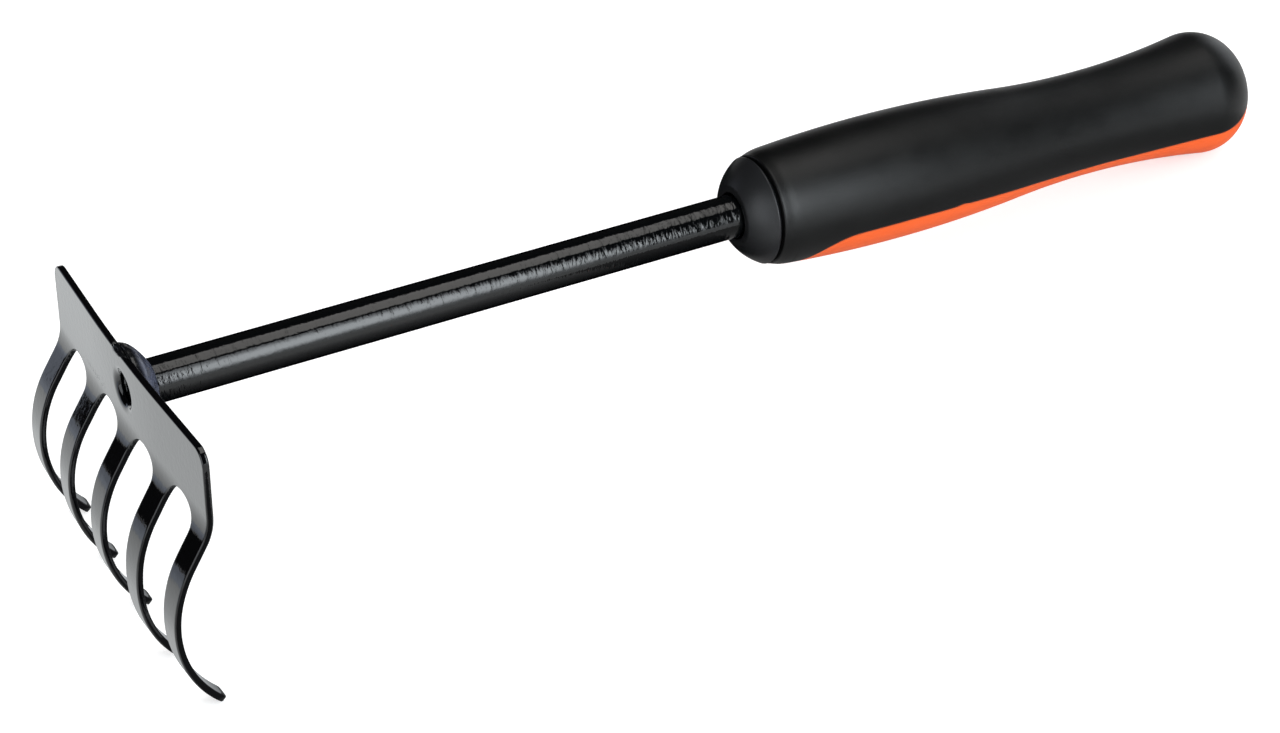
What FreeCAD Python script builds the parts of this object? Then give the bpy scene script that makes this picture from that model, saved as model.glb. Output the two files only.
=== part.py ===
import FreeCAD, Part
import math
import os

# Hand rake, in millimetres. While it is drawn, the shaft runs along X with its handle
# towards +X, the tines point down -Z and the tool is symmetric about Y = 0.
# At the end it is pitched on to its tine tips and its handle, as it lies on a bench.

V = FreeCAD.Vector

# stamped sheet with five tines
sheet = 1.6                 # thickness
tine_count = 5
tine_pitch = 23.0           # centre to centre
tine_width = 7.6            # down to the height where the taper starts
slot_width = tine_pitch - tine_width
head_width = (tine_count - 1) * tine_pitch + tine_width
plate_front = 0.4           # X of the front face at the middle
plate_top = 10.5            # height of the top edge above the shaft's axis
slot_top = -9.7             # crown of the slots between the tines
slot_crown = 7.45           # the punched half circle, shortened a little by the bend
top_corner = 6.5            # corner radius of the plate
tip_corner = 1.8            # corner radius of a tine's tip
taper_top = -28.2           # the tines narrow below this height
taper_slope = 0.029         # each side's run inwards for the drop
wing_angle = 2.0            # the head leans back by this much on each side
crease = 11.5               # Y of each soft crease, between the first and second tine

# bend line of the tines, measured at mid sheet from the plate downwards
bend_start = -8.7           # the sheet is flat above this height
kick_radius = 15.0          # first bend, forwards
kick_angle = 31.0
straight = 6.5
hook_radius = 35.9          # second bend, back under the tool
hook_angle = 78.1

clear = 120.0               # size of cutting bodies, larger than the head

# hole in the plate, dished in from the front
hole_radius = 4.15
hole_lip = 1.4

# shaft and its weld
shaft_radius = 6.0
shaft_bore = 4.5
shaft_end = 292.0           # hidden in the handle
weld_outline = [            # X behind the plate's front face, and radius
    (0.8, 10.8), (3.0, 10.8), (5.8, 8.7), (8.4, 6.0),
]
spill_radius = 1.5          # weld that has run over the plate's top edge
spill_centre = (1.3, 2.2, 10.4)
spill_length = 6.0

# handle, turned about an axis that droops a little from the shaft's
droop_angle = 0.95
collar_front = 177.6
collar_back = 184.2
collar_radius = 15.0
nose_radius = 8.5
dome_cones = 3              # the collar's dome is turned as this many short cones
neck_radius = 13.5          # floor of the groove between collar and grip
grip_front = 185.4
core_front = 188.0
core_radius = 12.0          # hard core where the soft grip covers it
core_taper = 330.0          # X where the covered core starts to taper
core_end = 340.0
core_tip = 6.0
lip_bevel = 0.5

# outline of the grip as tangent arcs: where each arc ends, the radius of the grip there,
# the arc's own radius, which is negative where the outline is hollow, and the number of
# short cones that the arc is turned as
mouth_radius = 15.36
shoulder_start = (187.77, 15.97)
grip_arcs = [
    (190.26, 16.39, 15.0, 1),       # shoulder
    (266.3, 15.87, 425.3, 3),       # swell for the palm
    (330.36, 17.58, -261.1, 3),     # waist for the fingers
    (343.94, 10.95, 13.31, 5),      # rim of the butt
]
crown_centre = 324.5        # the butt ends in part of a sphere about this X
crown_cones = 3             # and is turned as this many short cones

# side view of the seam between black grip and exposed core, from mouth to butt;
# every second point joins two arcs
seam_points = [
    (189.0, -17.2), (194.8, -11.7), (199.5, -7.6), (205.8, -5.45), (214.0, -5.05),
    (240.0, -5.35), (265.0, -6.75), (292.0, -8.2), (318.0, -7.5), (330.5, -6.3),
    (336.0, -3.6), (341.0, -0.2), (350.0, 4.5),
]

# how the finished tool lies: pitched until tine tips and handle touch the bench
rest_pitch = 8.113


def edge(a, b):
    return Part.makeLine(V(*a), V(*b))


def arc(a, mid, b):
    return Part.Arc(V(*a), V(*mid), V(*b)).toShape()


def polar(centre, radius, degrees):
    # point of the XZ plane at an angle measured from +X towards +Z
    a = math.radians(degrees)
    return (centre[0] + radius * math.cos(a), 0, centre[2] + radius * math.sin(a))


def turned(outline):
    # solid of revolution about X from a closed outline of straight lines
    sides = [edge(a, b) for a, b in zip(outline, outline[1:] + outline[:1])]
    return Part.Face(Part.Wire(sides)).revolve(V(0, 0, 0), V(1, 0, 0), 360)


def bent_profile():
    # section of the sheet in the XZ plane: plate, forward kick, straight, long hook
    mid_x = plate_front + sheet / 2
    front, back = -sheet / 2, sheet / 2
    kick_centre = (mid_x - kick_radius, 0, bend_start)
    kick_end = -kick_angle
    a = math.radians(kick_angle)
    down = (-math.sin(a), 0, -math.cos(a))
    side = (math.cos(a), 0, -math.sin(a))
    kick_point = polar(kick_centre, kick_radius, kick_end)
    reach = [kick_point[i] + down[i] * straight for i in range(3)]
    hook_centre = tuple(reach[i] + side[i] * hook_radius for i in range(3))
    hook_start = 180 - kick_angle
    hook_mid = hook_start + hook_angle / 2
    hook_end = hook_start + hook_angle

    def skin(offset):
        # one face of the sheet as plate line, two arcs and the straight between them
        kick_r = kick_radius + offset
        hook_r = hook_radius - offset
        top = (mid_x + offset, 0, plate_top)
        start = (mid_x + offset, 0, bend_start)
        kick_stop = polar(kick_centre, kick_r, kick_end)
        hook_go = polar(hook_centre, hook_r, hook_start)
        tip = polar(hook_centre, hook_r, hook_end)
        return top, tip, [
            edge(top, start),
            arc(start, polar(kick_centre, kick_r, kick_end / 2), kick_stop),
            edge(kick_stop, hook_go),
            arc(hook_go, polar(hook_centre, hook_r, hook_mid), tip),
        ]

    front_top, front_tip, front_edges = skin(front)
    back_top, back_tip, back_edges = skin(back)
    ends = [edge(front_top, back_top), edge(front_tip, back_tip)]
    return Part.Face(Part.Wire(Part.sortEdges(front_edges + back_edges + ends)[0]))


def side_taper(edge_y):
    # wedge that narrows the outer tine from its outer side
    low = -clear
    inward = taper_slope * (taper_top - low)
    corners = [(edge_y, taper_top), (edge_y - inward, low), (edge_y + inward, low)]
    sides = [(-clear / 2, y, z) for y, z in corners]
    wire = Part.Wire([edge(a, b) for a, b in zip(sides, sides[1:] + sides[:1])])
    return Part.Face(wire).extrude(V(clear, 0, 0))


def swept_sheet():
    # flat middle with a wing on each side, mitred where they meet in the slots
    spare = 3.0             # overlap that the mitre takes off
    profile = bent_profile()
    hinge = V(plate_front, crease, 0)
    outside = Part.makeBox(clear, clear, 2 * clear, V(-clear / 2, crease, -clear))
    outside.rotate(hinge, V(0, 0, 1), -wing_angle / 2)
    inside_half = profile.translated(V(0, -crease - spare, 0))
    middle = inside_half.extrude(V(0, 2 * (crease + spare), 0))
    run = (head_width / 2 - crease) / math.cos(math.radians(wing_angle))
    wing = profile.translated(V(0, crease - spare, 0)).extrude(V(0, run + spare, 0))
    wing = wing.cut(side_taper(crease + run))
    wing.rotate(hinge, V(0, 0, 1), -wing_angle)
    wing = wing.common(outside)
    other_side = [s.mirror(V(0, 0, 0), V(0, 1, 0)) for s in (outside, wing)]
    middle = middle.cut([outside, other_side[0]])
    return middle.fuse([wing, other_side[1]]).removeSplitter()


def slot_cutter(centre_y):
    # slot with a rounded crown, wider towards the tips, cut straight through in X
    half = slot_width / 2
    shoulder = slot_top - slot_crown
    far_x, low = -clear / 2, -clear
    crown = Part.Ellipse(V(far_x, centre_y, shoulder), half, slot_crown)
    crown.Axis = V(1, 0, 0)
    crown.XAxis = V(0, 1, 0)
    left, right = centre_y - half, centre_y + half
    flare = taper_slope * (taper_top - low)
    corners = [
        (left, shoulder), (left, taper_top), (left - flare, low),
        (right + flare, low), (right, taper_top), (right, shoulder),
    ]
    sides = [(far_x, y, z) for y, z in corners]
    crown_arc = Part.ArcOfEllipse(crown, 0, math.pi).toShape()
    wire = Part.Wire([crown_arc] + [edge(a, b) for a, b in zip(sides, sides[1:])])
    return Part.Face(wire).extrude(V(clear, 0, 0))


def dished_hole():
    # hole on the shaft's axis whose front edge is drawn in with two bevels
    floor = plate_front + hole_lip
    mouth = hole_radius + hole_lip
    bow = hole_lip * math.sqrt(0.5)
    before, behind = plate_front - sheet, plate_front + 2 * sheet
    outline = [
        (before, 0, 0), (before, 0, mouth), (plate_front, 0, mouth),
        (floor - bow, 0, mouth - bow), (floor, 0, hole_radius),
        (behind, 0, hole_radius), (behind, 0, 0),
    ]
    return turned(outline)


def crosses_sheet(e, height):
    # true for a short edge through the sheet's thickness close to this height
    box = e.optimalBoundingBox(False)
    short = e.Length < 1.05 * sheet and box.YLength < 0.2
    return short and abs(box.ZMax - height) < sheet


def make_rake_head():
    blank = swept_sheet()
    gaps = [slot_cutter((i - 1.5) * tine_pitch) for i in range(tine_count - 1)]
    head = blank.cut(gaps + [dished_hole()])
    top_edges = [e for e in head.Edges if crosses_sheet(e, plate_top)]
    head = head.makeFillet(top_corner, top_edges)
    tip_height = head.optimalBoundingBox(False).ZMin
    tip_edges = [e for e in head.Edges if crosses_sheet(e, tip_height + 1)]
    return head.makeFillet(tip_corner, tip_edges)


def make_shaft_tube(head):
    start = plate_front
    outer = Part.makeCylinder(shaft_radius, shaft_end - start, V(start, 0, 0), V(1, 0, 0))
    bore = Part.makeCylinder(shaft_bore, shaft_end - start, V(start, 0, 0), V(1, 0, 0))
    tube = outer.cut(bore).cut(head)
    return max(tube.Solids, key=lambda s: s.Volume)


def make_weld_bead(head):
    # fillet of weld between the plate's back and the tube, in short cones
    outline = [(plate_front + x, 0, radius) for x, radius in weld_outline]
    bead = turned([(outline[0][0], 0, shaft_radius)] + outline)
    start = V(*spill_centre) - V(0, spill_length / 2, 0)
    spill = Part.makeCylinder(spill_radius, spill_length, start, V(0, 1, 0))
    return bead.fuse(spill).cut(head)


def droop(shape):
    # handle solids are turned about X and then tilted at the handle's mouth
    shape.rotate(V(collar_front, 0, 0), V(0, 1, 0), droop_angle)
    return shape


def bow_point(a, b, radius):
    # middle of the arc from a to b in the XZ plane, bulging up when the radius is positive
    chord = b - a
    half = chord.Length / 2
    sag = abs(radius) - math.sqrt(radius ** 2 - half ** 2)
    up = V(-chord.z, 0, chord.x).normalize()
    return (a + b) * 0.5 + up * math.copysign(sag, radius)


def axis_sphere_arc(centre_x, a, b):
    # arc from a to b about a point on the axis, so that it turns into part of a sphere
    centre = V(centre_x, 0, 0)
    radius = (a - centre).Length
    middle = centre + ((a - centre) + (b - centre)).normalize() * radius
    return Part.Arc(a, middle, b).toShape()


def make_grip_outside():
    # turned outside of the handle: bevelled mouth, cone, tangent arcs, then the butt
    face = V(grip_front, 0, mouth_radius - lip_bevel)
    lip = V(grip_front + lip_bevel, 0, mouth_radius)
    start = V(shoulder_start[0], 0, shoulder_start[1])
    outline = [V(grip_front, 0, 0), face, lip, start]
    for x, radius, curve, cones in grip_arcs:
        end = V(x, 0, radius)
        bow = Part.Arc(start, bow_point(start, end, curve), end).toShape()
        outline += bow.discretize(cones + 1)[1:]
        start = end
    tail = V(crown_centre + math.hypot(start.x - crown_centre, start.z), 0, 0)
    outline += axis_sphere_arc(crown_centre, start, tail).discretize(crown_cones + 1)[1:]
    return droop(turned([tuple(p) for p in outline]))


def make_core_inside():
    # the part of the core that the soft grip covers: a rod with a tapered end
    rod = Part.makeCylinder(core_radius, core_taper - core_front, V(core_front, 0, 0), V(1, 0, 0))
    taper = Part.makeCone(core_radius, core_tip, core_end - core_taper, V(core_taper, 0, 0), V(1, 0, 0))
    return droop(rod.fuse(taper))


def make_front_collar():
    # domed ring with a neck that carries the front of the grip
    nose = V(collar_front, 0, nose_radius)
    rim = V(collar_back, 0, collar_radius)
    dome_centre = (rim.dot(rim) - nose.dot(nose)) / (2 * (rim.x - nose.x))
    dome = axis_sphere_arc(dome_centre, nose, rim).discretize(dome_cones + 1)
    neck = [(collar_back, 0, neck_radius), (core_front, 0, neck_radius), (core_front, 0, 0)]
    return droop(turned([(collar_front, 0, 0)] + [tuple(p) for p in dome] + neck))


def exposed_region():
    # everything below the seam, as seen from the side
    side, low = -40.0, -40.0
    spots = [(x, side, z) for x, z in seam_points]
    seam = [arc(*spots[i:i + 3]) for i in range(0, len(spots) - 2, 2)]
    first, last = spots[0], spots[-1]
    below_last, below_first = (last[0], side, low), (first[0], side, low)
    sides = [edge(last, below_last), edge(below_last, below_first), edge(below_first, first)]
    return Part.Face(Part.Wire(seam + sides)).extrude(V(0, -2 * side, 0))


def make_handle():
    # collar, core and grip share their faces: each is cut from what lies inside it
    shaft_space = Part.makeCylinder(shaft_radius, shaft_end, V(0, 0, 0), V(1, 0, 0))
    outer = make_grip_outside()
    inner = make_core_inside()
    collar_body = make_front_collar()
    core_body = inner.fuse(outer.common(exposed_region())).cut(collar_body)
    grip = outer.cut([core_body, collar_body])
    return collar_body.cut(shaft_space), core_body.cut(shaft_space), grip


def lay_down(shapes):
    # pitch the tool on to its tips and handle, then centre it on the bench
    for shape in shapes.values():
        shape.rotate(V(0, 0, 0), V(0, 1, 0), rest_pitch)
    box = Part.makeCompound(list(shapes.values())).optimalBoundingBox(False)
    for shape in shapes.values():
        shape.translate(V(-box.Center.x, 0, -box.ZMin))


def main():
    head = make_rake_head()
    tube = make_shaft_tube(head)
    bead = make_weld_bead(head)
    collar, core, grip = make_handle()
    shapes = {
        "rake_head": head,
        "shaft_tube": tube,
        "weld_bead": bead,
        "front_collar": collar,
        "handle_core": core,
        "soft_grip": grip,
    }
    lay_down(shapes)
    os.makedirs("parts", exist_ok=True)
    for name, shape in shapes.items():
        shape.exportStep("parts/" + name + ".step")


main()
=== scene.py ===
import bpy
import math
import numpy as np
from mathutils import Matrix, Vector, noise
from mathutils.geometry import delaunay_2d_cdt


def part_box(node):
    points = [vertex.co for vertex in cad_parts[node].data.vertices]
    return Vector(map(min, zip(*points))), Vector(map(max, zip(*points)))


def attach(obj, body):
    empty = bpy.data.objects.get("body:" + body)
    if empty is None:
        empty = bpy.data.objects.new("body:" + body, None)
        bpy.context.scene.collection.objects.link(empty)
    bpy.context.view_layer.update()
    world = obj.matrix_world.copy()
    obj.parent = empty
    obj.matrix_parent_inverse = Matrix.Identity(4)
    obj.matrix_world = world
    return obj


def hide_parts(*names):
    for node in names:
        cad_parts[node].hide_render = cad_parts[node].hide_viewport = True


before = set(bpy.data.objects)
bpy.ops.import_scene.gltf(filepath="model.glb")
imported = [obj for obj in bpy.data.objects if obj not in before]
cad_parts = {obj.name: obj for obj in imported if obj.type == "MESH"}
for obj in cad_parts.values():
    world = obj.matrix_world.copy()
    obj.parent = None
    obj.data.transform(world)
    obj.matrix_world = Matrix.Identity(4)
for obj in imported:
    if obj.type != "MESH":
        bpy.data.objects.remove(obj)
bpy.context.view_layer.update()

# Lengths in the dictionaries are millimetres and angles are degrees.
# Pieces are drawn along the shaft, with X from the head to the handle, and laid down by a matrix.
mm = 0.001
fullTurn = 2 * math.pi

# what more than one piece goes by
lay = {
    "pitch": 8.113,         # how far the tool leans on the bench
    "droop": 0.95,          # how far the handle turns down from the shaft
    "shaftEnd": 292.0,      # the tube's far end, hidden in the handle
    "shaftRadius": 6.0,
    "collarFront": 177.6,   # the handle turns about this place
}


def layMatrices():
    # the far end of the tube gives the place of the whole tool
    low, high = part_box("shaft_tube")
    pitch = math.radians(lay["pitch"])
    reach, radius = lay["shaftEnd"] * mm, lay["shaftRadius"] * mm
    shiftX = high.x - reach * math.cos(pitch) - radius * math.sin(pitch)
    shiftZ = low.z + reach * math.sin(pitch) + radius * math.cos(pitch)
    tool = Matrix.Translation((shiftX, 0, shiftZ)) @ Matrix.Rotation(pitch, 4, "Y")
    mouth = Matrix.Translation((lay["collarFront"] * mm, 0, 0))
    handle = tool @ mouth @ Matrix.Rotation(math.radians(lay["droop"]), 4, "Y") @ mouth.inverted()
    return tool, handle


toolPlace, handlePlace = layMatrices()


def addObject(name, data):
    made = bpy.data.objects.new(name, data)
    bpy.context.scene.collection.objects.link(made)
    return made


def addMesh(name, points, faces, place, material):
    data = bpy.data.meshes.new(name)
    data.from_pydata([place @ (Vector(p) * mm) for p in points], [], faces)
    data.materials.append(material)
    return addObject(name, data)


# the camera's angles and position against the tool: along the shaft, across it and up from it
view = {
    "azimuth": -29.07,
    "elevation": 33.855,
    "roll": 0.433,
    "position": (-231.897, -685.576, 485.884),
    "lens": 96.445,
    "sensor": 36.0,
    "nearest": 10.0,        # nothing nearer to the lens is drawn
}


def addCamera():
    azimuth, elevation, roll = (math.radians(view[key]) for key in ("azimuth", "elevation", "roll"))
    turn = Matrix.Rotation(azimuth, 4, "Z") @ Matrix.Rotation(math.pi / 2 - elevation, 4, "X")
    turn = turn @ Matrix.Rotation(roll, 4, "Z")
    data = bpy.data.cameras.new("viewCamera")
    data.lens = view["lens"]
    data.sensor_width = view["sensor"]
    data.clip_start = view["nearest"] * mm
    camera = addObject("viewCamera", data)
    camera.matrix_world = toolPlace @ Matrix.Translation(Vector(view["position"]) * mm) @ turn
    bpy.context.scene.camera = camera


addCamera()
print("camera placed")


class Wire:
    # a node's output that can be used in sums
    def __init__(self, finish, socket):
        self.finish = finish
        self.socket = socket

    def math(self, operation, *values):
        return self.finish.node("ShaderNodeMath", {"operation": operation}, dict(enumerate(values)))

    def __add__(self, other):
        return self.math("ADD", self, other)

    def __radd__(self, other):
        return self.math("ADD", other, self)

    def __sub__(self, other):
        return self.math("SUBTRACT", self, other)

    def __rsub__(self, other):
        return self.math("SUBTRACT", other, self)

    def __mul__(self, other):
        return self.math("MULTIPLY", self, other)

    def __rmul__(self, other):
        return self.math("MULTIPLY", other, self)


class Finish:
    # one material, or the world, built node by node
    def __init__(self, name, library=None):
        self.material = (bpy.data.materials if library is None else library).new(name)
        self.material.use_nodes = True
        self.tree = self.material.node_tree
        self.tree.nodes.clear()

    def node(self, kind, settings=None, sockets=None, output=0):
        made = self.tree.nodes.new(kind)
        for key, value in (settings or {}).items():
            setattr(made, key, value)
        for key, value in (sockets or {}).items():
            if isinstance(value, Wire):
                self.tree.links.new(value.socket, made.inputs[key])
            else:
                made.inputs[key].default_value = value
        return Wire(self, made.outputs[output]) if len(made.outputs) else None

    def place(self, stretch=(1, 1, 1)):
        # millimetres along the shaft, across it and up from it, stretched per axis
        own = self.node("ShaderNodeTexCoord", None, None, "Object")
        level = self.node("ShaderNodeMapping", {"vector_type": "POINT"}, {
            "Vector": own, "Rotation": (0, -math.radians(lay["pitch"]), 0),
            "Location": toolPlace.inverted().translation})
        return self.node("ShaderNodeVectorMath", {"operation": "MULTIPLY"}, {
            0: level, 1: [s / mm for s in stretch]})

    def part(self, place, axis):
        # axis is X, Y or Z
        return self.node("ShaderNodeSeparateXYZ", None, {"Vector": place}, axis)

    def noise(self, place, width, detail=2.0, roughness=0.5, warp=0.0):
        # width is that of one blotch, in the units of place
        return self.node("ShaderNodeTexNoise", None, {
            "Vector": place, "Scale": 1 / width, "Detail": detail,
            "Roughness": roughness, "Distortion": warp})

    def steps(self, value, low, high, atLow=0.0, atHigh=1.0):
        # eases from atLow where the value is low to atHigh where it is high
        return self.node("ShaderNodeMapRange", {"interpolation_type": "SMOOTHSTEP"}, {
            "Value": value, "From Min": low, "From Max": high, "To Min": atLow, "To Max": atHigh})

    def blend(self, mask, first, second):
        # 6, 7 and 2 are the node's sockets for colours
        sockets = {"Factor": mask, 6: first, 7: second}
        return self.node("ShaderNodeMix", {"data_type": "RGBA"}, sockets, 2)

    def close(self, look, mask, rough, height):
        # mask goes from the look's dark tone to its light one, and height gives its bumps
        body = self.blend(mask, shade(*look["dark"]), shade(*look["light"]))
        bump = self.node("ShaderNodeBump", None, {"Height": height, "Distance": look["depth"] * mm})
        return self.out(self.node("ShaderNodeBsdfPrincipled", None, {
            "Base Color": body, "Roughness": rough, "IOR": look["ior"], "Normal": bump}))

    def glow(self, colour, strength):
        return self.node("ShaderNodeEmission", None, {"Color": colour, "Strength": strength})

    def out(self, shader):
        self.node("ShaderNodeOutputMaterial", None, {"Surface": shader})
        return self.material


def shade(red, green, blue):
    # a colour as it reads on a screen, from 0 to 255
    parts = (c / 255 for c in (red, green, blue))
    return tuple(((p + 0.055) / 1.055) ** 2.4 if p > 0.04 else p / 12.92 for p in parts) + (1,)


# In the looks a noise is given by its width, detail, roughness and warp, and depth is the
# height in millimetres of a bump of one.
noiseMost = (0.3, 0.7)      # most of a noise lies between these
noiseAll = (0.2, 0.8)       # and nearly all of it between these

headLook = {
    "dark": (2, 2, 3),
    "light": (5, 5, 7),
    "cloud": (14, 2),       # soft patches of the two tones
    "rough": (0.035, 0.055),
    "peel": (1.5, 3, 0.6),  # ripple of the lacquer
    "depth": 0.026,
    "ior": 1.5,
}


def makeHeadLacquer():
    finish = Finish("headLacquer")
    place = finish.place()
    peel = finish.noise(place, *headLook["peel"])
    cloud = finish.noise(place, *headLook["cloud"])
    return finish.close(headLook, cloud, finish.steps(cloud, *noiseMost, *headLook["rough"]), peel)


shaftLook = {
    "dark": (2, 3, 4),
    "light": (5, 6, 7),
    "cloud": (20, 2),
    "rough": (0.05, 0.09),
    "streaks": (1.7, 3, 0.62, 0.5),         # narrow ones across the tube, as drawn tube has
    "stretch": (1, 0.36, 0.36),
    "streakDepth": 6.0,
    "peel": (1.3, 3),
    "peelDepth": 1.3,
    "depth": 0.02,
    "ior": 1.5,
}


def makeShaftLacquer():
    finish = Finish("shaftLacquer")
    place = finish.place()
    streaks = finish.noise(finish.place(shaftLook["stretch"]), *shaftLook["streaks"])
    peel = finish.noise(place, *shaftLook["peel"])
    cloud = finish.noise(place, *shaftLook["cloud"])
    height = streaks * shaftLook["streakDepth"] + peel * shaftLook["peelDepth"]
    return finish.close(shaftLook, cloud, finish.steps(cloud, *noiseMost, *shaftLook["rough"]), height)


weldLook = {
    # the weld is the same black lacquer: its dark tone is lifted a little by painted reflection, and
    # its light tone is a painted reflection
    "dark": (11, 12, 15),
    "light": (72, 76, 91),
    "paintedReflectionFrom": (3.0, 5.0),                # painted reflection comes in between these places along X, with painted shade at the root before them
    "hollowPaintedShade": (0.35, 0.6, 0.55, 1.0),   # and painted shade keeps its hollows darker
    "rough": (0.14, 0.30),
    "lumps": (2.0, 2),
    "grain": (0.4, 2),
    "grainDepth": 0.12,
    "depth": 0.12,
    "ior": 1.5,
}


def makeWeldLacquer():
    finish = Finish("weldLacquer")
    place = finish.place()
    lumps = finish.noise(place, *weldLook["lumps"])
    grain = finish.noise(place, *weldLook["grain"])
    # painted reflection over the bead's middle; at its root by the plate and in its hollows it stays
    # dark as painted shade
    paintedReflection = finish.steps(finish.part(place, "X"), *weldLook["paintedReflectionFrom"])
    paintedReflection = paintedReflection * finish.steps(lumps, *weldLook["hollowPaintedShade"])
    rough = finish.steps(lumps, *noiseMost, *weldLook["rough"])
    return finish.close(weldLook, paintedReflection, rough, lumps + grain * weldLook["grainDepth"])


collarLook = {
    "dark": (20, 21, 23),
    "light": (26, 27, 30),
    "cloud": (5, 3),
    "rough": (0.36, 0.44),
    "grain": (0.22, 2),
    "depth": 0.02,
    "ior": 1.5,
}


def makeCollarPlastic():
    finish = Finish("collarPlastic")
    place = finish.place()
    grain = finish.noise(place, *collarLook["grain"])
    cloud = finish.noise(place, *collarLook["cloud"])
    return finish.close(collarLook, cloud, finish.steps(grain, *noiseAll, *collarLook["rough"]), grain)


gripLook = {
    "dark": (2, 2, 3),
    "light": (6, 7, 7),
    "cloud": (9, 3),
    "rough": (0.36, 0.42),
    "grain": (0.25, 3),
    "grainRough": 0.06,     # what the grain adds to the roughness
    "depth": 0.025,
    "ior": 1.43,
}


def makeGripRubber():
    finish = Finish("gripRubber")
    place = finish.place()
    grain = finish.noise(place, *gripLook["grain"])
    cloud = finish.noise(place, *gripLook["cloud"])
    rough = finish.steps(cloud, *noiseMost, *gripLook["rough"]) + grain * gripLook["grainRough"]
    return finish.close(gripLook, cloud, rough, grain)


coreLook = {
    "dark": (239, 93, 28),
    "light": (245, 99, 34),
    "cloud": (8, 3),
    "rough": (0.38, 0.46),
    "grain": (0.3, 2),
    "depth": 0.012,
    "ior": 1.4,
}


def makeCoreOrange():
    finish = Finish("coreOrange")
    place = finish.place()
    grain = finish.noise(place, *coreLook["grain"])
    cloud = finish.noise(place, *coreLook["cloud"])
    return finish.close(coreLook, cloud, finish.steps(grain, *noiseAll, *coreLook["rough"]), grain)


headLacquer = makeHeadLacquer()
shaftLacquer = makeShaftLacquer()
weldLacquer = makeWeldLacquer()
collarPlastic = makeCollarPlastic()
gripRubber = makeGripRubber()
coreOrange = makeCoreOrange()
print("finishes ready")


def makePiece(name, points, faces, place, material, slotName, *nodes):
    piece = addMesh(name, points, faces, place, material)
    piece.data.validate()
    piece.data.shade_smooth()
    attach(piece, "root")
    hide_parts(*nodes)
    print(name, len(faces), "faces")


def between(a, b, count):
    # count evenly spaced values from a, leaving out b
    return [a + (b - a) * i / count for i in range(count)]


def quarterTurn(count):
    # angles from 0 to a right angle in count steps, with both ends
    return [math.radians(90 * i / count) for i in range(count + 1)]


def ringFaces(start, rows, count, closed=False):
    # faces between rings of count points, the first of which begins at start
    faces = []
    for i in range(rows if closed else rows - 1):
        a, b = start + i * count, start + (i + 1) % rows * count
        faces += [(a + k, a + (k + 1) % count, b + (k + 1) % count, b + k) for k in range(count)]
    return faces


def aroundX(x, r, angle):
    # angle 0 is on the -Y side and a right angle is up
    return (x, -r * math.cos(angle), r * math.sin(angle))


def turned(line, count, shape=aroundX):
    # a closed line of (x, radius) turned about X; shape gives the place of each point
    points = [shape(x, r, angle) for x, r in line for angle in between(0, fullTurn, count)]
    return points, ringFaces(0, len(line), count, True)


def arcLine(start, end, radius, count):
    # points of (x, r) on the arc from start to end, hollow when the radius is negative
    (x0, r0), (x1, r1) = start, end
    chord = math.hypot(x1 - x0, r1 - r0)
    rise = math.sqrt(radius * radius - chord * chord / 4)
    ux, ur = (x1 - x0) / chord, (r1 - r0) / chord
    sign = 1 if radius > 0 else -1
    cx = (x0 + x1) / 2 + ur * rise * sign
    cr = (r0 + r1) / 2 - ux * rise * sign
    a0 = math.atan2(r0 - cr, x0 - cx)
    a1 = math.atan2(r1 - cr, x1 - cx)
    if a1 - a0 > math.pi:
        a1 -= fullTurn
    if a0 - a1 > math.pi:
        a1 += fullTurn
    size = abs(radius)
    return [(cx + size * math.cos(a), cr + size * math.sin(a)) for a in between(a0, a1, count)]


head = {
    "sheet": 1.9,
    "lineDepth": 0.8,       # heights are measured this far behind the front face
    "tines": 5,
    "pitch": 23.0,
    "tineWidth": 7.6,
    "front": 0.4,           # x of the plate's front face
    "top": 10.5,
    "slotTop": -9.7,
    "slotCrown": 7.45,      # height of the round end of a slot
    "topCorner": 4.6,
    "tipCorner": 1.3,
    "splay": (0.0, 2.1, 0.0, 0.7, 0.3),     # how far each tip stands forward, from -Y to +Y
    "splayTop": -40.0,      # the hooks spread below this height
    "splayDrop": 32.0,      # and reach their whole splay in this length
    "splayCurve": 1.5,      # above 1 they spread ever faster
    "taperTop": -28.2,      # below this height the tines narrow
    "taper": 0.029,         # run inwards of each side for the drop
    "lean": 2.0,            # how far each wing leans back
    "leanReach": 23.0,      # the lean is reached this far from the middle
    "bendStart": -8.7,      # where the sheet leaves the plate's plane
    "kickRadius": 15.0,
    "kick": 31.0,           # how far it turns forward
    "straight": 6.5,
    "hookRadius": 35.9,
    "hook": 78.1,           # how far it turns back from there to the tips
    "edgeRound": 0.42,
    "holeRadius": 4.15,
    "lipReach": 2.3,        # width and depth of the rolled rim of the hole
    "lipDepth": 1.4,
    "step": 0.8,            # spacing of points along the edges
    "cornerStep": 1.6,      # they stand this many times closer on corners
    "cornerLeast": 5,       # and a corner has at least this many
    "crownPoints": 44,
    "edgePoints": 5,        # steps of the rounding of the edges
    "holePoints": 72,
    "lipPoints": 10,
    "edgeRing": 0.3,        # first ring of a face inside the rounding
    "lipRing": 0.35,        # and outside the hole's rim
    "grid": 1.5,            # spacing of points on the faces
    "gridRow": 0.87,        # of their rows, as a share of it
    "gridEdge": 0.55,       # how clear of the edges they stay
    "gridHole": 0.5,        # and of the hole
    "gridMerge": 1e-5,
}


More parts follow.
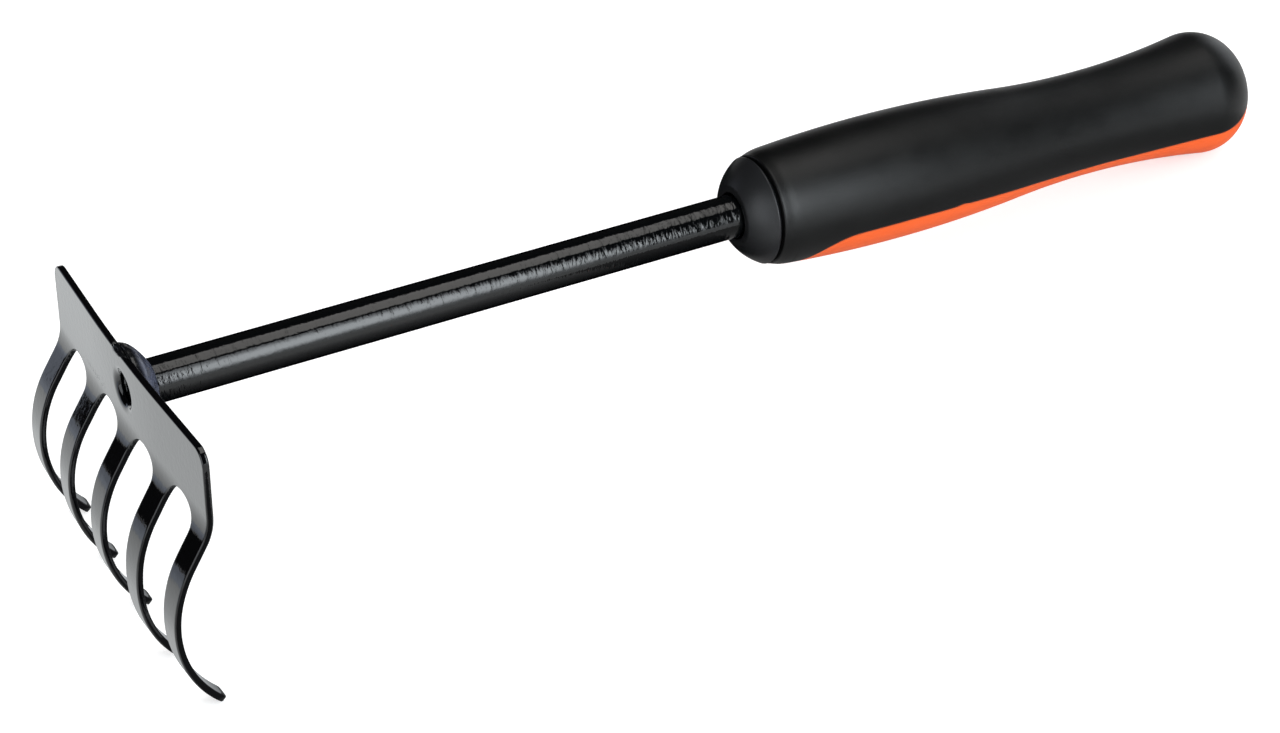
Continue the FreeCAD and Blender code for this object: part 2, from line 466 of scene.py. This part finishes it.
def sheetLine(h):
    # the line that heights are measured on, at a height h along the steel: x, z and tilt
    midX = head["front"] + head["lineDepth"]
    run = head["bendStart"] - h
    kick, radius = math.radians(head["kick"]), head["kickRadius"]
    if run <= 0:
        return midX, h, 0.0
    if run < radius * kick:
        a = run / radius
        return midX - radius + radius * math.cos(a), head["bendStart"] - radius * math.sin(a), a
    x = midX - radius + radius * math.cos(kick)
    z = head["bendStart"] - radius * math.sin(kick)
    run -= radius * kick
    flat = min(run, head["straight"])
    x -= math.sin(kick) * flat
    z -= math.cos(kick) * flat
    tilt = kick - (run - flat) / head["hookRadius"]
    x += head["hookRadius"] * (math.cos(kick) - math.cos(tilt))
    z += head["hookRadius"] * (math.sin(tilt) - math.sin(kick))
    return x, z, tilt


def alongSteel(z):
    # the height along the steel whose bent height is z, by halving a span that holds it
    low, high = z - 8, z + 1
    for _ in range(40):
        middle = (low + high) / 2
        if sheetLine(middle)[1] > z:
            high = middle
        else:
            low = middle
    return (low + high) / 2


def onSheet(v, h, depth):
    # point at v across, h along and depth behind the front face
    x, z, tilt = sheetLine(h)
    back = depth - head["lineDepth"]
    x += back * math.cos(tilt)
    z -= back * math.sin(tilt)
    if h < head["splayTop"]:
        last = head["tines"] - 1
        tine = min(max(round(v / head["pitch"] + last / 2), 0), last)
        x -= head["splay"][tine] * ((head["splayTop"] - h) / head["splayDrop"]) ** head["splayCurve"]
    # each wing leans back along an arc, and then straight
    lean, reach, side = math.radians(head["lean"]), head["leanReach"], math.copysign(1, v)
    near = min(abs(v), reach)
    turn = lean * near / reach
    behind = lean * near * near / reach / 2 + (abs(v) - near) * math.sin(lean)
    across = near * (1 - turn * turn / 6) + (abs(v) - near) * math.cos(lean)
    midX = head["front"] + head["lineDepth"]
    ahead = x - midX
    return (midX + behind + ahead * math.cos(turn), side * (across - ahead * math.sin(turn)), z)


def roundCorner(centre, radius, start, end, step):
    length = radius * abs(math.radians(end - start))
    count = max(head["cornerLeast"], int(length / step * head["cornerStep"]))
    turns = [math.radians(a) for a in between(start, end, count)]
    return [(centre[0] + radius * math.cos(a), centre[1] + radius * math.sin(a)) for a in turns]


def straightRun(a, b, step):
    count = max(1, int(math.dist(a, b) / step))
    return [(a[0] + (b[0] - a[0]) * t, a[1] + (b[1] - a[1]) * t) for t in between(0, 1, count)]


def headOutline():
    # clockwise from the left end of the top edge
    step, top = head["step"], head["top"]
    corner, tip = head["topCorner"], head["tipCorner"]
    half = (head["tines"] - 1) * head["pitch"] / 2 + head["tineWidth"] / 2
    bend = math.radians(head["kick"]) * head["kickRadius"]
    bend += math.radians(head["hook"]) * head["hookRadius"]
    low = head["bendStart"] - bend - head["straight"]
    shoulder = head["slotTop"] - head["slotCrown"]
    slotHalf = (head["pitch"] - head["tineWidth"]) / 2
    neck = alongSteel(head["taperTop"])
    narrow = head["taper"] * (head["taperTop"] - sheetLine(low + tip)[1])

    line = straightRun((-half + corner, top), (half - corner, top), step)
    line += roundCorner((half - corner, top - corner), corner, 90, 0, step)
    side = top - corner
    for i in range(head["tines"]):
        right = half - i * head["pitch"]
        left = right - head["tineWidth"]
        tipRight, tipLeft = right - narrow, left + narrow
        line += straightRun((right, side), (right, neck), step)
        line += straightRun((right, neck), (tipRight, low + tip), step)
        line += roundCorner((tipRight - tip, low + tip), tip, 0, -90, step / 2)
        line += straightRun((tipRight - tip, low), (tipLeft + tip, low), step)
        line += roundCorner((tipLeft + tip, low + tip), tip, -90, -180, step / 2)
        line += straightRun((tipLeft, low + tip), (left, neck), step)
        if i < head["tines"] - 1:
            side = alongSteel(shoulder)
            line += straightRun((left, neck), (left, side), step)
            for a in between(0, math.pi, head["crownPoints"]):
                z = shoulder + head["slotCrown"] * math.sin(a)
                line.append((left - slotHalf + slotHalf * math.cos(a), alongSteel(z)))
    line += straightRun((left, neck), (left, top - corner), step)
    line += roundCorner((-half + corner, top - corner), corner, 180, 90, step)
    return line


def drawnIn(line, amount):
    # the outline moved inwards by amount; it runs clockwise, so inwards is to the right
    points = np.array(line)
    ahead = np.roll(points, -1, 0) - np.roll(points, 1, 0)
    ahead /= np.linalg.norm(ahead, axis=1)[:, None]
    inward = np.stack([ahead[:, 1], -ahead[:, 0]], 1)
    return points + inward * amount


def insideOf(loop, spots):
    # even-odd test of many spots against one closed loop
    x, y = spots[:, 0][:, None], spots[:, 1][:, None]
    x0, y0 = loop[:, 0][None], loop[:, 1][None]
    x1, y1 = np.roll(x0, -1, 1), np.roll(y0, -1, 1)
    crosses = ((y0 > y) != (y1 > y)) & (x < (x1 - x0) * (y - y0) / (y1 - y0 + 1e-12) + x0)
    return crosses.sum(1) % 2 == 1


def faceGrid(outer, hole, holeReach):
    # staggered spots inside the outline and clear of its edges
    size = head["grid"]
    rows = np.arange(outer[:, 1].min(), outer[:, 1].max(), size * head["gridRow"])
    spots = []
    for i, h in enumerate(rows):
        vs = np.arange(outer[:, 0].min() + (i % 2) * size / 2, outer[:, 0].max(), size)
        spots.append(np.stack([vs, np.full_like(vs, h)], 1))
    spots = np.concatenate(spots)
    spots = spots[insideOf(outer, spots)]
    edges = np.concatenate([outer, hole])
    gap = np.sqrt(((spots[:, None] - edges[None]) ** 2).sum(2)).min(1)
    clear = np.hypot(spots[:, 0], spots[:, 1]) > holeReach + size * head["gridHole"]
    return spots[(gap > size * head["gridEdge"]) & clear]


def fillOutline(outer, hole, holeReach):
    # triangles of a face, the spots they stand on, and which point each spot came from
    count, holeCount = len(outer), len(hole)
    spots = [Vector(p) for p in np.concatenate([outer, hole, faceGrid(outer, hole, holeReach)])]
    edges = [(k, (k + 1) % count) for k in range(count)]
    edges += [(count + k, count + (k + 1) % holeCount) for k in range(holeCount)]
    placed, _, triangles, origins, _, _ = delaunay_2d_cdt(spots, edges, [], 0, head["gridMerge"])
    flat = np.array([tuple(p) for p in placed])
    centres = np.array([flat[list(t)].mean(0) for t in triangles])
    keep = insideOf(outer, centres) & ~insideOf(hole, centres)
    return [t for t, used in zip(triangles, keep) if used], flat, [given[0] for given in origins]


def rimSections():
    # the outer edge as (drawn in, depth), from the front face to the back face
    soft = head["edgeRound"]
    rim = [(soft + head["edgeRing"], 0)]
    rim += [(soft * (1 - math.sin(a)), soft * (1 - math.cos(a)))
            for a in quarterTurn(head["edgePoints"])]
    return rim + [(drawn, head["sheet"] - depth) for drawn, depth in reversed(rim)]


def lipSections():
    # the hole's rim as (radius, depth), from the front face to the back face
    reach, deep = head["lipReach"], head["lipDepth"]
    mouth = head["holeRadius"] + reach
    lip = [(mouth + head["lipRing"], 0)]
    lip += [(mouth - reach * math.sin(a), deep * (1 - math.cos(a)))
            for a in quarterTurn(head["lipPoints"])]
    return lip + [(head["holeRadius"], head["sheet"]), (mouth + head["lipRing"], head["sheet"])]


def buildHead():
    outline, rim, lip = headOutline(), rimSections(), lipSections()
    ring = between(0, fullTurn, head["holePoints"])
    count, holeCount = len(outline), len(ring)
    points = [onSheet(v, h, depth) for drawn, depth in rim for v, h in drawnIn(outline, drawn)]
    holeStart = len(points)
    points += [onSheet(r * math.cos(a), r * math.sin(a), depth) for r, depth in lip for a in ring]
    faces = ringFaces(0, len(rim), count) + ringFaces(holeStart, len(lip), holeCount)

    holeReach = lip[0][0]
    hole = np.array([(holeReach * math.cos(a), holeReach * math.sin(a)) for a in ring])
    triangles, flat, origins = fillOutline(drawnIn(outline, rim[0][0]), hole, holeReach)
    # the front face and then the back one, joined to the edges' first and last rings
    for depth, rimRow, lipRow in ((0, 0, 0), (head["sheet"], len(rim) - 1, len(lip) - 1)):
        index = []
        for spot, origin in zip(flat, origins):
            if origin < count:
                index.append(rimRow * count + origin)
            elif origin < count + holeCount:
                index.append(holeStart + lipRow * holeCount + origin - count)
            else:
                index.append(len(points))
                points.append(onSheet(*spot, depth))
        for triangle in triangles:
            corners = [index[c] for c in triangle]
            faces.append(tuple(corners if depth == 0 else reversed(corners)))
    makePiece("stampedHead", points, faces, toolPlace, headLacquer, "black_lacquer", "rake_head")


buildHead()


tube = {
    "bore": 4.5,            # radius inside
    "start": 2.35,          # front end, inside the weld
    "wave": 0.03,           # unevenness of the drawn tube
    "waveLength": 30.0,
    "waveRound": 0.8,       # how quickly it changes around the tube
    "wall": 0.2,            # points this far outside the bore belong to the outside
    "runIn": (0.25, 0.5),   # weld metal in the mouth of the bore, and its unevenness
    "runInReach": 8.0,
    "runInLength": 2.5,
    "runInRound": 2.2,
    "mouthReach": 9.0,      # the bore has finer points this far in
    "mouthStart": 0.3,      # they begin this far in
    "mouthRound": 0.1,      # and the mouth's edge is this much wider
    "farRound": 1.0,        # the bore's last points stand this far inside the far end
    "around": 144,
    "along": (240, 30, 24),     # points along the outside, the bore and its mouth
}


def unevenTube(x, r, angle):
    def drift(length, spread):
        return noise.noise(Vector((x / length, math.cos(angle) * spread, math.sin(angle) * spread)))

    if r > tube["bore"] + tube["wall"]:
        r += tube["wave"] * drift(tube["waveLength"], tube["waveRound"])
    elif x < tube["start"] + tube["runInReach"]:
        depth, uneven = tube["runIn"]
        r -= depth + uneven * drift(tube["runInLength"], tube["runInRound"])
    return aroundX(x, r, angle)


def buildTube():
    start, end, radius, bore = tube["start"], lay["shaftEnd"], lay["shaftRadius"], tube["bore"]
    mouth = start + tube["mouthReach"]
    outside, inside, fine = tube["along"]
    line = [(x, radius) for x in between(start, end, outside)]
    line += [(end, radius), (end, bore)]
    line += [(x, bore) for x in between(end - tube["farRound"], mouth, inside)]
    line += [(x, bore) for x in between(mouth, start + tube["mouthStart"], fine)]
    line.append((start, bore + tube["mouthRound"]))
    points, faces = turned(line, tube["around"], unevenTube)
    makePiece("shaftTube", points, faces, toolPlace, shaftLacquer, "black_lacquer", "shaft_tube")


weld = {
    "rootX": 1.9,
    "tailX": 8.0,
    "rise": 4.8,            # height of the bead over the tube at the plate
    "sunk": 0.3,            # how far its foot stands inside the plate and the tube
    "heel": (0.2, 0.5),     # its edge at the plate, forward of the root and below the rise
    "under": 0.1,           # the curve runs out this far inside the tube
    "tail": (0.2, 0.15),    # and ends this far past tailX and inside the tube
    "fuller": 0.24,         # extra share of rise on the upper side
    "fullest": 2.0,         # radians; where around it the bead is fullest
    "lump": 0.16,
    "lumpLength": 5.0,
    "lumpRound": 1.7,       # how quickly the lumps change around the bead
    "lumpSeed": 3.0,        # another number gives other lumps
    "push": 0.2,            # how far a lump shifts along the shaft
    "ripple": 0.07,
    "ripples": 17,          # how many stand around the bead
    "rippleDrift": 2.5,     # how far they wander
    "rippleLength": 3.0,
    "rippleRound": 2.0,
    "along": 36,
    "around": 200,
    "spillCentre": (1.4, 2.2, 10.3),    # metal that has run over the top edge of the plate
    "spillSize": (1.35, 3.9, 1.1),
    "spillLumps": (0.24, 2.3),          # depth as a share of the size, and fineness
    "spillGrain": (0.14, 5.0),
    "spillSeed": (5, 1, 2),
    "spillPoints": (14, 40),
}


def lumpyWeld(x, r, angle):
    # part is 0 at the tube and 1 at the top of the bead
    part = max(0.0, min(1.0, (r - lay["shaftRadius"]) / weld["rise"]))
    y, z = -math.cos(angle), math.sin(angle)
    spread = weld["lumpRound"]
    lump = noise.noise(Vector((x / weld["lumpLength"], y * spread, z * spread + weld["lumpSeed"])))
    spread = weld["rippleRound"]
    wander = noise.noise(Vector((y * spread, z * spread, x / weld["rippleLength"])))
    ripple = math.sin(angle * weld["ripples"] + weld["rippleDrift"] * wander)
    r += part * weld["rise"] * weld["fuller"] * max(0.0, math.cos(angle - weld["fullest"]))
    r += part * (weld["lump"] * lump + weld["ripple"] * ripple)
    return (x + part * weld["push"] * lump, r * y, r * z)


def spillPoint(a, b):
    # a turns from +Y to -Y and b around that line
    (lumpDepth, lumpFine), (grainDepth, grainFine) = weld["spillLumps"], weld["spillGrain"]
    way = Vector((math.sin(a) * math.cos(b), math.cos(a), math.sin(a) * math.sin(b)))
    grow = 1 + lumpDepth * noise.noise(way * lumpFine + Vector(weld["spillSeed"]))
    grow += grainDepth * noise.noise(way * grainFine)
    return tuple(c + s * w * grow for c, s, w in zip(weld["spillCentre"], weld["spillSize"], way))


def buildWeld():
    root, tail, radius, rise = weld["rootX"], weld["tailX"], lay["shaftRadius"], weld["rise"]
    heelX, heelDrop = weld["heel"]
    tailReach, tailDrop = weld["tail"]
    line = [(root - weld["sunk"], radius - weld["sunk"]), (root - heelX, radius + rise - heelDrop)]
    # swells out from the plate, then runs down to the tube
    line += [(root + (tail - root) * t, radius - weld["under"] + rise * (1 - t * t))
             for t in between(0, 1, weld["along"])]
    line.append((tail + tailReach, radius - tailDrop))
    points, faces = turned(line, weld["around"], lumpyWeld)

    rows, count = weld["spillPoints"]
    faces += ringFaces(len(points), rows + 1, count)
    points += [spillPoint(math.pi * i / rows, b)
               for i in range(rows + 1) for b in between(0, fullTurn, count)]
    makePiece("weldBead", points, faces, toolPlace, weldLacquer, "black_lacquer", "weld_bead")


buildTube()
buildWeld()


collar = {
    "back": 184.2,
    "radius": 15.0,
    "nose": 8.5,            # radius of the flat front
    "hole": 6.55,
    "holeRound": 0.25,
    "holePoints": 5,
    "bore": ((6.0, 0.3), (1.2, 0.0)),   # points inside the hole: behind the front, narrower by
    "front": (6.85, 7.45, 8.2),         # rings of the flat front
    "domePoints": 30,
    "domeShort": 0.01,                  # radians; the dome stops just short of the rim
    "rim": ((0.06, 0.02), (0.0, 0.12), (0.0, 0.5)),     # forward of back, inside radius
    "neck": 13.5,                       # radius of the part that stands in the grip
    "neckRound": (0.05, 0.1),
    "neckReach": 3.0,
    "around": 160,
}


def collarLine():
    front, back, nose, radius = lay["collarFront"], collar["back"], collar["nose"], collar["radius"]
    hole, neck, soft = collar["hole"], collar["neck"], collar["holeRound"]
    neckIn, neckRise = collar["neckRound"]
    centre = (back ** 2 + radius ** 2 - front ** 2 - nose ** 2) / 2 / (back - front)
    size = math.hypot(front - centre, nose)
    a0 = math.atan2(nose, front - centre)
    a1 = math.atan2(radius, back - centre) + collar["domeShort"]
    line = [(front + behind, hole - narrower) for behind, narrower in collar["bore"]]
    line += [(front + soft - soft * math.sin(a), hole + soft - soft * math.cos(a))
             for a in between(0, math.pi / 2, collar["holePoints"])]
    line += [(front, r) for r in collar["front"]]
    line += [(centre + size * math.cos(a), size * math.sin(a))
             for a in between(a0, a1, collar["domePoints"])]
    line += [(back - ahead, radius - drop) for ahead, drop in collar["rim"]]
    line += [(back, neck + neckRise), (back + neckIn, neck)]
    line += [(back + collar["neckReach"], r) for r in (neck, hole)]
    return line


grip = {
    "front": 185.4,
    "face": (13.0, 14.1, 14.76),    # rings of its front face, from inside the collar's neck outwards
    "mouth": 15.36,         # radius at the front
    "mouthRound": 0.5,
    "mouthPoints": 8,
    "flare": 0.33,          # run outwards for the reach, up to the shoulder
    "flarePoints": 4,
    "shoulder": (187.77, 15.97),
    # arcs from there: end x and radius, radius of the bend (hollow when negative), points
    "arcs": [(190.26, 16.39, 15.0, 8), (266.3, 15.87, 425.3, 90),
             (330.36, 17.58, -261.1, 80), (343.94, 10.95, 13.31, 40)],
    "crownCentre": 324.5,
    "crownPoints": 24,
    "crownIn": 0.03,        # how far the butt stands inside that line
    "drawIn": 0.998,        # share of its radius that the whole line keeps
    "around": 96,
}

core = {
    "around": 64,
    # where the grip ends and the core shows: x, and height beside the handle
    "seam": [(189.0, -17.2), (194.8, -11.9), (199.8, -7.9), (205.8, -5.4), (214.0, -4.93),
             (228.0, -4.75), (239.5, -4.95), (242.3, -4.6), (244.6, -4.95), (254.0, -5.45),
             (265.0, -6.05), (278.0, -6.65), (292.0, -6.75), (305.0, -6.6), (318.0, -5.8),
             (326.0, -5.05), (331.0, -4.5), (336.0, -3.05), (341.0, -0.2), (350.0, 4.5)],
    "rollIn": (0.05, 0.16, 1.36),   # how deep the rings of the edges at the seam go
}


def gripLine():
    # outside of the grip and the exposed core, from the mouth to the end of the butt
    mouth, front, soft = grip["mouth"], grip["front"], grip["mouthRound"]
    line = [(front + soft - soft * math.cos(a), mouth - soft + soft * math.sin(a))
            for a in between(0, math.pi / 2, grip["mouthPoints"])]
    start = grip["shoulder"]
    line += [(front + soft + t, mouth + t * grip["flare"])
             for t in between(0, start[0] - front - soft, grip["flarePoints"])]
    for x, r, bend, count in grip["arcs"]:
        line += arcLine(start, (x, r), bend, count)
        start = (x, r)
    centre = grip["crownCentre"]
    size = math.hypot(start[0] - centre, start[1])
    a0 = math.atan2(start[1], start[0] - centre)
    line += [(centre + size * math.cos(a), size * math.sin(a))
             for a in between(a0, 0, grip["crownPoints"])]
    line.append((centre + size, 0.0))
    return [(x - grip["crownIn"] * (x > centre), r * grip["drawIn"]) for x, r in line]


def seamHeight(x):
    # height of the seam beside the handle, eased through its points
    spots = core["seam"]
    if x <= spots[0][0]:
        return spots[0][1]
    if x >= spots[-1][0]:
        return spots[-1][1]
    i = max(k for k in range(len(spots) - 1) if spots[k][0] <= x)
    before, after = spots[max(i - 1, 0)], spots[min(i + 2, len(spots) - 1)]
    a, b = spots[i], spots[i + 1]
    span = b[0] - a[0]
    t = (x - a[0]) / span
    slopeA = (b[1] - before[1]) / (b[0] - before[0]) * span
    slopeB = (after[1] - a[1]) / (after[0] - a[0]) * span
    z = (2 * t ** 3 - 3 * t * t + 1) * a[1] + (t ** 3 - 2 * t * t + t) * slopeA
    z += (3 * t * t - 2 * t ** 3) * b[1] + (t ** 3 - t * t) * slopeB
    return z


def skin(line, lower):
    # the outside above the seam or, with lower, the core's part below it
    points, rows = [], []
    count = core["around"] if lower else grip["around"]
    for x, r in line:
        z = seamHeight(x)
        allOther = z <= -r if lower else z >= r
        if allOther:        # the other skin has the whole ring here
            continue
        edge = math.pi / 2 if z >= r else -math.pi / 2 if z <= -r else math.asin(z / r)
        start, end = (-math.pi - edge, edge) if lower else (edge, math.pi - edge)
        rows.append(range(len(points), len(points) + count + 1))
        points += [aroundX(x, r, start + (end - start) * k / count) for k in range(count + 1)]
    faces = []
    for one, two in zip(rows, rows[1:]):
        faces += [(one[k], one[k + 1], two[k + 1], two[k]) for k in range(count)]
    # both edges at the seam are rolled inwards
    for edge in ([row[0] for row in rows], [row[-1] for row in rows]):
        ring = edge
        for deep in core["rollIn"]:
            inner = []
            for index in edge:
                here = Vector(points[index])
                inner.append(len(points))
                points.append(tuple(here - Vector((0, here.y, here.z)).normalized() * deep))
            faces += [(ring[i], ring[i + 1], inner[i + 1], inner[i]) for i in range(len(edge) - 1)]
            ring = inner
    return points, faces


def buildHandle():
    points, faces = turned(collarLine(), collar["around"])
    makePiece("frontCollar", points, faces, handlePlace, collarPlastic,
              "collar_plastic", "front_collar")
    line = gripLine()
    points, faces = skin([(grip["front"], r) for r in grip["face"]] + line, False)
    makePiece("softGrip", points, faces, handlePlace, gripRubber, "grip_rubber", "soft_grip")
    points, faces = skin(line, True)
    makePiece("handleCore", points, faces, handlePlace, coreOrange, "core_plastic", "handle_core")


buildHandle()


studio = {
    "floorSize": 12000.0,
    "floorDrop": 0.3,       # how far the bench lies under the tool
    "floorTones": ((224, 224, 224), (227, 227, 227)),
    "floorPatch": (400, 2),
    "floorRough": 0.9,
    "floorGlow": 0.52,      # what makes the bench white to the camera
    "airFill": 0.72,        # what the air gives to matt surfaces
    "airMirror": 0.02,      # and what gloss sees of it
    "topLamp": ((220, 383, 1000), (220, -388, 1000), (700, 383, 1000)),     # three corners
    "topGlow": 2.2,
    "topColour": (1, 0.985, 0.96),
    "nearGlow": 7.9,
    "nearColour": (0.90, 0.96, 1.0, 1),
    # each fade is from and to in millimetres, and the share of the light there
    "nearLow": (0, 240, 0.25, 1.0),
    "nearHigh": (360, 720, 1.0, 0.30),
    "benchGlow": 1.56,
    "benchRise": (5, -26, 0.25, 1.0),       # along the tool, away from the head
    "benchAcross": (20, 180, 1.0, 1.02),    # a touch brighter towards the far tines
    "benchFall": (-60, -175, 1.0, 0.90),
    "benchBeyond": (-174, -176),            # further out it's bluer and has its own fades
    "beyondRise": (-176, -196, 0.64, 0.86),
    "beyondFall": (-190, -380, 1.0, 0.80),
    "benchColour": (0.96, 0.99, 1.0, 1),
    "beyondColour": (0.78, 0.86, 1.0, 1),
    "underThin": (-45, 0),  # towards the front the flag under the shaft thins out between these
}

# colour and strength of the plain cards
glows = {
    "screenGlow": ((0.76, 0.84, 1.0, 1), 1.05),
    "sideGlow": ((0.92, 0.96, 1.0, 1), 0.13),
    "tipGlow": ((0.92, 0.96, 1.0, 1), 0.68),
    "gripShadeGlow": ((1, 1, 1, 1), 0.3),
    "collarGlow": ((0.92, 0.96, 1.0, 1), 2.2),
    "rightGlow": ((0.92, 0.96, 1.0, 1), 1.5),
}

# corners; the first four are square to the tool and the others to the bench
cards = {
    "nearPanel": [(120, -650, 0), (446, -650, 0), (408, -472.4, 800), (120, -472.4, 800)],
    "cornerFlag": [(16, -101, 110), (50, -101, 110), (50, -160, 12), (16, -160, 12)],
    "farFlag": [(8, 25, -70), (190, 25, -70), (190, 25, 9), (8, 25, 9)],
    "underFlag": [(5, -520, -16), (180, -520, -16), (180, 90, -16), (5, 90, -16)],
    "benchCard": [(-140, -80, 1), (-560, -80, 1), (-560, 900, 1), (-140, 900, 1)],
    "lowScreen": [(-560, 200, 0), (-560, 900, 0), (-560, 900, 33), (-560, 200, 33)],
    "farScreen": [(-560, 592, 33), (-560, 900, 33), (-560, 900, 400), (-560, 592, 400)],
    "sideFlag": [(-176, -140, 2), (-128, -140, 2), (-156, 60, 2), (-176, 60, 2)],
    # one of these lies by each tip
    "tipCard": [(-173.5, -1, 2.4), (-168, -1, 2.4), (-168, 13, 2.4), (-173.5, 13, 2.4)],
    "gripShade": [(-10, -110, 0.6), (190, -110, 0.6), (190, 70, 0.6), (-10, 70, 0.6)],
    "collarCard": [(-620, -60, 40), (-330, -480, 40), (-330, -480, 560), (-620, -60, 560)],
    "rightCard": [(600, 400, 0), (600, -40, 0), (600, -40, 300), (600, 400, 300)],
}


def buildFloor():
    finish = Finish("paleBench")
    dark, light = studio["floorTones"]
    patches = finish.noise(finish.place(), *studio["floorPatch"])
    tone = finish.blend(patches, shade(*dark), shade(*light))
    base = finish.node("ShaderNodeBsdfPrincipled", None, {
        "Base Color": tone, "Roughness": studio["floorRough"]})
    ray = finish.node("ShaderNodeLightPath", None, None, "Is Camera Ray")
    glow = finish.glow((1, 1, 1, 1), ray * studio["floorGlow"])
    material = finish.out(finish.node("ShaderNodeAddShader", None, {0: base, 1: glow}))
    half = studio["floorSize"] / 2
    corners = [(-half, -half, 0), (half, -half, 0), (half, half, 0), (-half, half, 0)]
    bench = addMesh("bench", corners, [(0, 1, 2, 3)], Matrix.Identity(4), material)
    bench.location.z = -studio["floorDrop"] * mm


def lightWorld():
    air = Finish("studioAir", bpy.data.worlds)
    cameraRay = air.node("ShaderNodeLightPath", None, None, "Is Camera Ray")
    glossRay = air.node("ShaderNodeLightPath", None, None, "Is Glossy Ray")
    matt = studio["airFill"] * (1 - cameraRay) * (1 - glossRay)
    strength = cameraRay + matt + glossRay * studio["airMirror"]
    back = air.node("ShaderNodeBackground", None, {"Color": (1, 1, 1, 1), "Strength": strength})
    air.node("ShaderNodeOutputWorld", None, {"Surface": back})
    bpy.context.scene.world = air.material


def addTopLamp():
    # an even bright face that the camera doesn't see
    a, b, c = (toolPlace @ (Vector(p) * mm) for p in studio["topLamp"])
    side, up = (b - a).normalized(), (c - a).normalized()
    data = bpy.data.lights.new("topPanel", "AREA")
    data.shape = "RECTANGLE"
    data.size, data.size_y = (b - a).length, (c - a).length
    data.energy = studio["topGlow"] * math.pi * data.size * data.size_y
    data.color = studio["topColour"]
    lamp = addObject("topPanel", data)
    turn = Matrix((side, up, side.cross(up))).transposed()
    lamp.matrix_world = Matrix.Translation((b + c) / 2) @ turn.to_4x4()
    lamp.visible_camera = False


def addCard(name, material, place, mirrorOnly=True, across=0.0):
    # the camera doesn't see a card, and with mirrorOnly only gloss does
    corners = [(x, y + across, z) for x, y, z in cards[name]]
    card = addMesh(name, corners, [(0, 1, 2, 3)], place, material)
    card.visible_camera = card.visible_shadow = card.visible_transmission = False
    card.visible_diffuse = not mirrorOnly


def makeSoftGlow():
    # bright in the middle of its height and dimmer towards its edges
    finish = Finish("softGlow")
    up = finish.part(finish.place(), "Z")
    level = finish.steps(up, *studio["nearLow"]) * finish.steps(up, *studio["nearHigh"])
    return finish.out(finish.glow(studio["nearColour"], level * studio["nearGlow"]))


def makeBenchGlow():
    # brighter away from the head, and further out a bluer part with fades of its own
    finish = Finish("benchGlow")
    place = finish.place()
    along, across = finish.part(place, "X"), finish.part(place, "Y")
    near = finish.steps(along, *studio["benchRise"]) * finish.steps(across, *studio["benchAcross"])
    near = near * finish.steps(along, *studio["benchFall"])
    far = finish.steps(along, *studio["beyondRise"]) * finish.steps(along, *studio["beyondFall"])
    beyond = finish.steps(along, *studio["benchBeyond"])
    level = near * (1 - beyond) + far * beyond
    tone = finish.blend(beyond, studio["benchColour"], studio["beyondColour"])
    return finish.out(finish.glow(tone, level * studio["benchGlow"]))


def makeGlow(name):
    finish = Finish(name)
    return finish.out(finish.glow(*glows[name]))


def makeFlag(name, thin=None):
    # black, and with thin it's clear at the first Y and whole at the second
    finish = Finish(name)
    black = finish.node("ShaderNodeBsdfDiffuse", None, {"Color": (0, 0, 0, 1)})
    if thin is not None:
        whole = finish.steps(finish.part(finish.place(), "Y"), *thin)
        clear = finish.node("ShaderNodeBsdfTransparent")
        black = finish.node("ShaderNodeMixShader", None, {0: whole, 1: clear, 2: black})
    return finish.out(black)


def lightTool():
    level = Matrix.Identity(4)
    addCard("nearPanel", makeSoftGlow(), toolPlace, mirrorOnly=False)   # long light on the near side
    addTopLamp()
    addCard("benchCard", makeBenchGlow(), level)                # what the plate and the tines mirror
    screenGlow = makeGlow("screenGlow")                         # and what stands behind that
    addCard("lowScreen", screenGlow, level)
    addCard("farScreen", screenGlow, level)
    addCard("sideFlag", makeGlow("sideGlow"), level)            # dims the near sides of the tines
    tipGlow = makeGlow("tipGlow")
    for tine in range(head["tines"]):
        across = (tine - (head["tines"] - 1) / 2) * head["pitch"]
        addCard("tipCard", tipGlow, level, across=across)       # lights the insides of the tips
    addCard("gripShade", makeGlow("gripShadeGlow"), level)      # dims the underside of the handle
    addCard("collarCard", makeGlow("collarGlow"), level)        # lights the collar's front
    addCard("rightCard", makeGlow("rightGlow"), level)          # lights the end of the butt
    addCard("cornerFlag", makeFlag("cornerBlack"), toolPlace)   # darkens the plate's near top corner
    addCard("farFlag", makeFlag("farBlack"), toolPlace)         # black beside the shaft and under it
    addCard("underFlag", makeFlag("underBlack", studio["underThin"]), toolPlace)


buildFloor()
lightWorld()
lightTool()
bpy.context.scene.view_settings.view_transform = "Standard"
print("studio lit")
